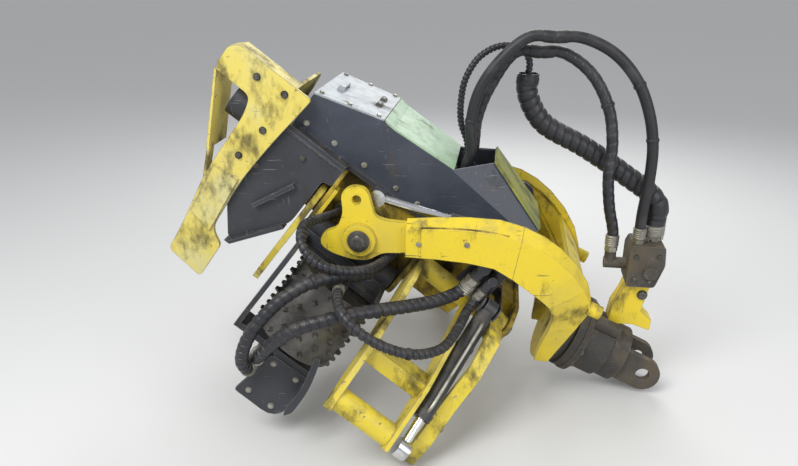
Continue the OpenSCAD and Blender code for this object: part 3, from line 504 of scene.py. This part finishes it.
def bolt(bm, at, axis, size):
    """Adds a hex head on a washer; size is the thread in metres."""
    washer = 0.16 * size
    head = 0.65 * size
    rows = [(0, 1.15 * size), (washer, 1.15 * size), (washer, 0.98 * size),
            (washer + head - 0.12 * size, 0.98 * size), (washer + head, 0.84 * size)]
    revolve(bm, rows, at, axis, flat=(2, 3, 4))


def ferrule(bm, route, at_end, diameter, length):
    """Adds a crimped sleeve and a nut over one end of a hose."""
    i = -1 if at_end else 0
    axis = -route.along[-2] if at_end else route.along[0]
    r = diameter / 2
    rows = [(0.0005, r * 1.16), (0.28 * length, r * 1.16), (0.29 * length, r * 0.98),
            (0.36 * length, r * 0.98), (0.37 * length, r * 1.2)]
    for k in range(4):
        low = length * (0.42 + 0.12 * k)
        rows += [(low, r * 1.2), (low + 0.03 * length, r * 1.12), (low + 0.07 * length, r * 1.12),
                 (low + 0.1 * length, r * 1.2)]
    rows += [(0.94 * length, r * 1.2), (length, r * 1.04)]
    revolve(bm, rows, route.points[i], axis, flat=(0, 1))


# Hoses: the same routes as the model's, in its frames

# Height of the surface's waves and how many radians of them a metre has
HOSE_WAVE = (0.0004, 900)
WELD_WAVE = (0.0008, 1100)
ELBOW_X = 150
ELBOW_TOP = 230 + SEAT_GAP
BLOCK_HEAD = 495 + SEAT_GAP
SIDE_WALL = -FRAME_HALF - SEAT_GAP
PORT_Y = -190 - SEAT_GAP
OUTER_APEX = (-402, -50, 1183)
INNER_APEX = (-440, 0, 1130)
SLEEVE_MOUTH = (-475, 75, 1050)


def above_elbow(y):
    """First two points of a hose on the valve block, in the row frame."""
    return [tuple(HEAD @ Vector((ELBOW_X, y, z))) for z in (ELBOW_TOP, 300)]


def from_arm(x, *points):
    """Points at one x of the near feed arm, in the head frame."""
    return [tuple(HEAD.inverted() @ ARM @ Vector((x, y, z))) for y, z in points]


# Name: frame, diameter, its joint's two bodies or its one body, kind of cover, points
HOSES = {
    "outer_hose_up": (ROW, 38, ("head", "tilt_frame"), "smooth", above_elbow(-50) + [
        (-653, -55, 800), (-658, -60, 900), (-634, -60, 1010), (-570, -60, 1110), (-480, -50, 1183),
        OUTER_APEX]),
    "outer_hose_down": (ROW, 38, ("tilt_frame", "rotator"), "smooth", [
        (OUTER_APEX[0] + SEAT_GAP, -50, 1183), (-325, -50, 1183), (-222, -41, 1138), (-140, -36, 1055),
        (-88, -32, 950), (-62, -30, 840), (-58, -30, 725), (-66, -30, 600), (-66, -30, BLOCK_HEAD)]),
    "inner_hose_up": (ROW, 40, ("head", "tilt_frame"), "taped", above_elbow(12) + [
        (-650, 12, 795), (-640, 12, 900), (-604, 12, 1005), (-520, 0, 1130), INNER_APEX]),
    "inner_hose_down": (ROW, 40, ("tilt_frame", "rotator"), "taped", [
        (INNER_APEX[0] + SEAT_GAP, 0, 1130), (-375, 0, 1130), (-280, -6, 1068), (-214, -12, 960),
        (-188, -12, 840), (-188, -10, 720), (-172, -3, 610), (-150, 0, 520), (-150, 0, 450 + SEAT_GAP)]),
    "thin_hose": (ROW, 24, ("head", "tilt_frame"), "spiral", above_elbow(60) + [
        (-672, 58, 800), (-696, 50, 880), (-698, 40, 960), (-684, 40, 1035), (-640, 50, 1105),
        (-570, 66, 1140), (-500, 75, 1128), (-475, 75, 1090), (-475, 75, 1050 + SEAT_GAP)]),
    "hose_sleeve": (ROW, 72, ("tilt_frame", "rotator"), "sleeve", [
        SLEEVE_MOUTH, (-475, 75, 985), (-420, 70, 888), (-270, 58, 806), (-130, 42, 720), (-16, 22, 630),
        (-16, 22, BLOCK_HEAD)]),
    "frame_hose": (HEAD, 30, ("head",), "spiral", [
        (-105, SIDE_WALL, -25), (-105, -225, -25), (-138, -325, -32), (-166, -420, -44),
        (-140, -478, -64), (-75, -500, -76), (0, -494, -52), (66, -437, -25), (102, -350, -10),
        (128, -255, 16), (140, -205, 34), (140, SIDE_WALL, 34)]),
    "motor_hose_upper": (HEAD, 42, ("feed_arm_right", "head"), "spiral",
                         from_arm(-28, (PORT_Y, -452), (-245, -452)) + [
        (-62, -580, -464), (-92, -598, -365), (-92, -572, -260), (-62, -535, -160), (-8, -482, -95),
        (60, -405, -74), (104, -310, -64), (110, -215, -32), (110, SIDE_WALL, -32)]),
    "motor_hose_lower": (HEAD, 44, ("feed_arm_right", "head"), "spiral",
                         from_arm(-28, (PORT_Y, -404), (-245, -404)) + [
        (-28, -586, -386), (-20, -604, -312), (5, -608, -230), (70, -580, -148), (152, -520, -84),
        (235, -450, -36), (312, -372, 6), (360, -305, 40), (374, -290, 78), (374, -290, 120 - SEAT_GAP)]),
    "knife_hose": (HEAD, 32, ("feed_arm_right", "head"), "spiral",
                   from_arm(40, (-235 - SEAT_GAP, -58.5), (-290, -58.5)) + [
        (72, -610, -98), (150, -638, -98), (240, -625, -92), (325, -585, -75), (392, -515, -40),
        (412, -425, 0), (420, -335, 26), (424, -290, 66), (424, -290, 102 - SEAT_GAP)]),
}
# Surface of each cover: share of the pitch and height over the hose, in metres
COVERS = {
    "spiral": [(0.0, -0.0022), (0.07, 0.0002), (0.2, 0.0009), (0.62, 0.0009), (0.78, 0.0002),
               (0.85, -0.0022)],
    "taped": [(0.0, -0.0004), (0.05, 0.0008), (0.5, 0.0004), (0.95, -0.0004)],
    "sleeve": [(0.0, -0.002), (0.08, 0.001), (0.5, 0.0018), (0.86, 0.0006), (0.95, -0.002)],
}
# Pitch of each cover in diameters, and how much thinner the hose under it is
PITCHES = {"spiral": 0.62, "taped": 0.8, "sleeve": 0.42}
COVER_ROOM = 0.002
# Hoses that leave another piece of hose, or end in one, without a fitting
BARE_STARTS = ("outer_hose_down", "inner_hose_down", "hose_sleeve")
BARE_ENDS = ("outer_hose_up", "inner_hose_up", "thin_hose")
ROUTES = {}


def settle(obj, bodies):
    """Rides on one body; between two of them it only has its place baked into the mesh."""
    if len(bodies) == 1:
        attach(obj, bodies[0])
    else:
        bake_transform(obj)


def wave(size, rate):
    """Height of a wavy surface at each length of a tube."""
    return lambda s: size * math.sin(s * rate)


def hose(name, at, diameter, bodies, cover, points):
    """One hose with its fittings, in place of the model's plain one."""
    route = Route([place(at, p) for p in points])
    ROUTES[name] = route
    d = diameter * MM
    if cover == "smooth":
        bm = plain_tube(route, d - 0.001, 24, bulge=wave(*HOSE_WAVE))
        finish = "hose_black"
    else:
        bm = wrapped_tube(route, d - COVER_ROOM, PITCHES[cover] * d, COVERS[cover], 22)
        finish = "wrap_black"
    obj = piece(f"{name}_tube", bm, finish)
    ends = bmesh.new()
    if name not in BARE_STARTS:
        ferrule(ends, route, False, d, 1.5 * d)
    if name not in BARE_ENDS:
        ferrule(ends, route, True, d, (0.8 if cover == "sleeve" else 1.5) * d)
    fitting = piece(f"{name}_fittings", ends, "zinc")
    settle(fitting, bodies)
    settle(obj, bodies)
    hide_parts(name)


for name, facts in HOSES.items():
    hose(name, *facts)


# Fittings, bolts, pins and welds

def bolts(name, at, points, axis, size, body, finish="zinc"):
    """Hex bolts at points of one frame, all along one axis, as one piece."""
    bm = bmesh.new()
    for point in points:
        bolt(bm, place(at, point), turn(at, axis), size * MM)
    return piece(name, bm, finish, body)


def bead(name, at, points, width, body, finish):
    """Weld bead: a low ribbed tube along a seam."""
    route = Route([place(at, p) for p in points], 0.002)
    bm = plain_tube(route, width * MM, 8, bulge=wave(*WELD_WAVE))
    return piece(name, bm, finish, body)


def pipe(name, at, points, width, body):
    """Bent steel pipe through points of one frame."""
    route = Route([place(at, p) for p in points])
    return piece(name, plain_tube(route, width * MM, 14), "zinc", body)


def band(name, route, s, width, diameter, bodies):
    """Tape or strap: a short thicker length round a hose."""
    rings = 7
    bm = bmesh.new()
    grid = []
    for i in range(rings):
        share = i / (rings - 1) - 0.5
        radius = diameter / 2 * MM * (1 if 0 < i < rings - 1 else 0.93)
        grid.append(tube_ring(bm, route, s + share * width * MM, radius, 24))
    skin(bm, grid)
    obj = piece(name, bm, "hose_black")
    settle(obj, bodies)


# Turned parts, as rows of height and radius in metres: nut of the tilt pin, cap of a knife's pin, hinge
TILT_NUT = [(0, 0.036), (0.004, 0.036), (0.005, 0.030), (0.009, 0.030), (0.0095, 0.026), (0.016, 0.026),
            (0.018, 0.022), (0.018, 0.012), (0.014, 0.011)]
NUT_FLATS = (4, 5)
KNIFE_PIN_CAP = [(0, 0.033), (0.007, 0.033), (0.0075, 0.022), (0.014, 0.020)]
HINGE = [(0, 0.012), (0.034, 0.012), (0.035, 0.008), (0.04, 0.008)]
# Pipe along a knife cylinder: place along it and distance from its axis, as a share of PIPE_REACH
PIPE_REACH = 36
PIPE_BENDS = ((60, 0.55), (66, 0.9), (90, 1.05), (200, 1.05), (300, 1.05), (372, 1.05), (394, 0.9),
              (400, 0.55))
# Collars on a knife cylinder's barrel: place along it and radius
COLLARS = ((150, 31.5), (400, 33), (412, 31))


def tilt_side(side, sign):
    """Nut, bolts and welds of one tilt arm."""
    out = (0, sign, 0)
    bm = bmesh.new()
    revolve(bm, TILT_NUT, place(YOKE, (0, sign * TILT_PIN_END, 0)), out, flat=NUT_FLATS)
    piece(f"tilt_nut_{side}", bm, "steel", "head")
    face = sign * ARM_OUTER
    bolts(f"arm_bolts_{side}", YOKE, [(193, face, 2), (343, face, 8)], out, 8, "tilt_frame")
    bead(f"hub_weld_{side}", YOKE, [(196, face, 58), (196, sign * (ARM_OUTER + 1), 20), (196, face, -40)],
         7, "tilt_frame", "frame_yellow")
    seam = sign * (ARM_OUTER - 8)
    bead(f"arm_seam_{side}", YOKE, [(200, seam, 53), (300, seam, 56), (400, seam, 52),
                                    (470, sign * (ARM_OUTER - 9), 40)],
         8, "tilt_frame", "dirty_yellow")


def cover_side(side, sign):
    """Bolts along one side plate of the cover, its wing, the side panel and the tilt stand."""
    out = (0, sign, 0)
    slope = (COVER_WIDE - COVER_SLIM) / COVER_LENGTH
    bolts(f"cover_bolts_{side}", HEAD, [(x, sign * (COVER_WIDE - slope * (x - COVER_REAR)), BACK_RISE + 25)
                                        for x in (-360, -250, -130, 0, 90)], (slope, sign, 0), 9, "head")
    wing = sign * (FRAME_HALF + COVER_T + 0.5)
    bolts(f"wing_bolts_{side}", HEAD, [(x, wing, 140) for x in (150, 300, 440)], out, 9, "head")
    panel = sign * (REAR_HALF + 0.5)
    bead(f"panel_seam_{side}", HEAD, [(-420, panel, 100), (-330, panel, 104), (-200, panel, 104)],
         7, "head", "dark_paint")
    bolts(f"panel_bolts_{side}", HEAD, [(x, sign * REAR_HALF, z) for x, z in
                                        ((-410, 60), (-410, -60), (-300, 60))], out, 10, "head", "steel")
    bolts(f"stand_bolts_{side}", HEAD, [(x, sign * STAND_OUTER, z) for x, z in
                                        ((390, 110), (440, 110), (400, 230))], out, 9, "head", "steel")


def knife_side(side, sign):
    """Pin cap and bolts of one front knife, and its cylinder's pipe and collars."""
    bm = bmesh.new()
    revolve(bm, KNIFE_PIN_CAP, place(HEAD, (NOSE_FRONT, sign * KNIFE_PIVOT_Y, 0)), turn(HEAD, (1, 0, 0)))
    piece(f"pin_end_{side}", bm, "steel", "head")
    bolts(f"knife_bolts_{side}", HEAD, [(KNIFE_FACE, sign * y, z) for y, z in ((480, -130), (540, -262))],
          (1, 0, 0), 9, f"front_knife_{side}")
    base = Vector((CYLINDER_X, sign * CYLINDER_BASE[0], CYLINDER_BASE[1]))
    eye = Vector((CYLINDER_X, sign * CYLINDER_EYE[0], CYLINDER_EYE[1]))
    along = (eye - base).normalized()
    off = Vector((0, sign * abs(along.z), abs(along.y))) * PIPE_REACH
    pipe(f"cylinder_pipe_{side}", HEAD, [base + along * s + off * k for s, k in PIPE_BENDS], 12,
         f"knife_barrel_{side}")
    bm = bmesh.new()
    for s, radius in COLLARS:
        rows = [(0, BARREL_R * MM), (0.0005, radius * MM), (0.012, radius * MM), (0.0125, BARREL_R * MM)]
        revolve(bm, rows, place(HEAD, base + along * s), turn(HEAD, along), 28)
    piece(f"cylinder_collars_{side}", bm, "dark_paint", f"knife_barrel_{side}")


def feed_side(side, sign):
    """Bolts of one feed motor and of its guard."""
    arm = ARM if sign < 0 else MIRROR @ ARM @ MIRROR
    bolts(f"guard_bolts_{side}", arm, [(x, sign * GUARD_FACE, z) for x, z in
                                       ((30, -405), (120, -405), (20, -530), (110, -530))],
          (0, sign, 0), 9, f"feed_arm_{side}")
    circle = [math.pi * k / 3 for k in range(6)]
    bolts(f"motor_bolts_{side}", arm, [(ROLLER_X + MOTOR_BOLT_CIRCLE * math.cos(a),
                                        sign * (ROLLER_OFF - MOTOR_BOLT_CIRCLE * math.sin(a)), MOTOR_FOOT)
                                       for a in circle], (0, 0, -1), 9, f"feed_arm_{side}")


for side, sign in (("right", -1), ("left", 1)):
    tilt_side(side, sign)
    cover_side(side, sign)
    knife_side(side, sign)
    feed_side(side, sign)

# Rotator and hose block
rim = [2 * math.pi * k / RIM_BOLTS for k in range(RIM_BOLTS)]
bolts("rim_bolts", ROTATOR, [(RIM_FACE, RIM_CIRCLE * math.cos(a), RIM_CIRCLE * math.sin(a)) for a in rim],
      (1, 0, 0), 9, "rotator", "steel")
bolts("block_bolts", ROW, [(x, BLOCK_FACE, z) for x, z in ((-70, 372), (-20, 366), (-72, 455), (4, 460))],
      (0, -1, 0), 8, "rotator", "steel")
bolts("bracket_bolt", ROW, [(-30, -34, 300)], (0, -1, 0), 16, "rotator", "steel")

# Rear plate of the cover: bolts, hinges and seam
bolts("plate_bolts", HEAD, [(x, sign * y, PLATE_LOW + (x - COVER_REAR) * PLATE_SLOPE)
                            for x, y in ((-378, 180), (-190, 172), (-285, 182)) for sign in (-1, 1)],
      (-PLATE_SLOPE, 0, 1), 8, "head")
bm = bmesh.new()
for y in (-60, 26):
    revolve(bm, HINGE, place(HEAD, (-212, y, 303)), turn(HEAD, (0, 1, 0)), 20)
piece("plate_hinges", bm, "steel", "head")
bead("cover_seam", HEAD, [(-166, -188, 311), (-166, 0, 311.5), (-166, 188, 311)], 7, "head", "dark_paint")

# Saw box: bolts, and welds round the doubler
bolts("saw_box_bolts", HEAD, [(x, SAW_FACE, z) for x, z in
                              ((-460, 200), (-560, 190), (-452, 60), (-470, -60))],
      (0, -1, 0), 11, "head", "steel")
bead("doubler_weld", HEAD, [(-516, -263, -141), (-470, -264, -136), (-426, -263, -132)], 8, "head",
     "faded_yellow")
bead("doubler_weld_side", HEAD, [(-516, -263, -141), (-506, -264, -235), (-497, -263, -328)], 7, "head",
     "faded_yellow")

# Valve block: plugs on its top and near side
bolts("valve_plugs", HEAD, [(x, y, BACK_RISE + 90) for x in (-90, -40, 10) for y in (-80, 80)],
      (0, 0, 1), 15, "head")
bolts("valve_side_plugs", HEAD, [(x, VALVE_SIDE, z) for x in (-95, -50, -5, 40) for z in (150, 190)],
      (0, -1, 0), 11, "head")

# Tape and straps: hose, place along it (from its far end if negative), width, diameter, bodies
BANDS = [
    ("outer_hose_up", -20, 40, 41, ("tilt_frame",)),
    ("outer_hose_down", 20, 40, 41, ("tilt_frame",)),
    ("inner_hose_up", -20, 40, 43, ("tilt_frame",)),
    ("inner_hose_down", 20, 40, 43, ("tilt_frame",)),
    ("hose_sleeve", -118, 46, 79, ("tilt_frame", "rotator")),
    ("hose_sleeve", 24, 30, 77, ("tilt_frame",)),
    ("outer_hose_down", 330, 12, 42, ("tilt_frame", "rotator")),
    ("outer_hose_down", 520, 12, 42, ("tilt_frame", "rotator")),
    ("inner_hose_down", 300, 12, 45, ("tilt_frame", "rotator")),
    ("outer_hose_up", 260, 12, 42, ("head", "tilt_frame")),
    ("motor_hose_lower", 560, 12, 49, ("feed_arm_right", "head")),
    ("motor_hose_upper", 500, 12, 47, ("feed_arm_right", "head")),
    ("knife_hose", 420, 12, 37, ("feed_arm_right", "head")),
    ("frame_hose", 430, 12, 35, ("head",)),
]
for name, s, width, diameter, bodies in BANDS:
    route = ROUTES[name]
    along = s * MM if s > 0 else route.length + s * MM
    band(f"{name}_band_{abs(s)}", route, along, width, diameter, bodies)

# Saw chain: cutters round the edge of the saw bar
BAR_TIP = SAW_PIVOT[1] - BAR_LENGTH + BAR_HALF
LINK = 19
CUTTER_HALF = 5
# Foot and top of a cutter: height over the bar's edge and half length
CUTTER = ((-3, 8), (6, 5))


def cutter(bm, y, z, angle):
    """Adds one cutter at a point of the bar's edge, whose outward direction is the angle."""
    outward = Vector((0, math.cos(angle), math.sin(angle)))
    along = Vector((0, -math.sin(angle), math.cos(angle)))
    corners = []
    for height, reach in CUTTER:
        for across, forward in ((-1, -1), (1, -1), (1, 1), (-1, 1)):
            middle = Vector((BAR_X + across * CUTTER_HALF, y, z))
            corners.append(bm.verts.new(place(HEAD, middle + outward * height + along * reach * forward)))
    foot, top = corners[:4], corners[4:]
    for k in range(4):
        bm.faces.new((foot[k], foot[(k + 1) % 4], top[(k + 1) % 4], top[k]))
    bm.faces.new(foot[::-1])
    bm.faces.new(top)


def saw_chain():
    """One cutter a link up one edge, down the other and round the tip."""
    bm = bmesh.new()
    straight = SAW_PIVOT[1] - 20 - BAR_TIP
    for edge, angle in ((-1, math.pi), (1, 0)):
        for k in range(int(straight / LINK)):
            cutter(bm, SAW_PIVOT[0] + edge * BAR_HALF, BAR_TIP + k * LINK, angle)
    steps = int(math.pi * BAR_HALF / LINK)
    for k in range(1, steps):
        angle = -math.pi * k / steps
        cutter(bm, SAW_PIVOT[0] + BAR_HALF * math.cos(angle), BAR_TIP + BAR_HALF * math.sin(angle), angle)
    piece("saw_chain", bm, "steel", "saw_bar", smooth=False)


saw_chain()

# Floor and lights, in metres
FLOOR_LEVEL = -0.085
FLOOR_SIZE = 60
LIT_MIDDLE = (-0.8, 0, 0.5)
SKY = (0.93, 0.95, 1.0, 1)
SKY_STRENGTH = 0.55
floor_bm = bmesh.new()
bmesh.ops.create_grid(floor_bm, x_segments=1, y_segments=1, size=FLOOR_SIZE)
floor_mesh = bpy.data.meshes.new("floor")
floor_bm.to_mesh(floor_mesh)
floor_bm.free()
floor = bpy.data.objects.new("floor", floor_mesh)
bpy.context.scene.collection.objects.link(floor)
floor_finish = bpy.data.materials.new("floor")
floor_finish.use_nodes = True
floor_shader = floor_finish.node_tree.nodes["Principled BSDF"]
floor_shader.inputs["Base Color"].default_value = srgb(214, 214, 212)
floor_shader.inputs["Roughness"].default_value = 0.9
floor_mesh.materials.append(floor_finish)
floor.location.z = FLOOR_LEVEL


def area_light(name, at, size, power):
    """Soft round lamp that looks at the middle of the head."""
    data = bpy.data.lights.new(name, "AREA")
    data.shape = "DISK"
    data.size = size
    data.energy = power
    obj = bpy.data.objects.new(name, data)
    obj.matrix_world = axes_to(Vector(at), Vector(at) - Vector(LIT_MIDDLE))
    bpy.context.scene.collection.objects.link(obj)


# Lamps: name, place and size in metres, power in watts
area_light("key", (-2.2, -2.6, 3.4), 2.2, 120)
area_light("fill", (1.8, -2.4, 1.8), 2.5, 45)
area_light("back", (-0.4, 2.8, 2.8), 2.5, 70)

world = bpy.data.worlds.new("studio")
bpy.context.scene.world = world
world.use_nodes = True
background = world.node_tree.nodes["Background"]
background.inputs["Color"].default_value = SKY
background.inputs["Strength"].default_value = SKY_STRENGTH
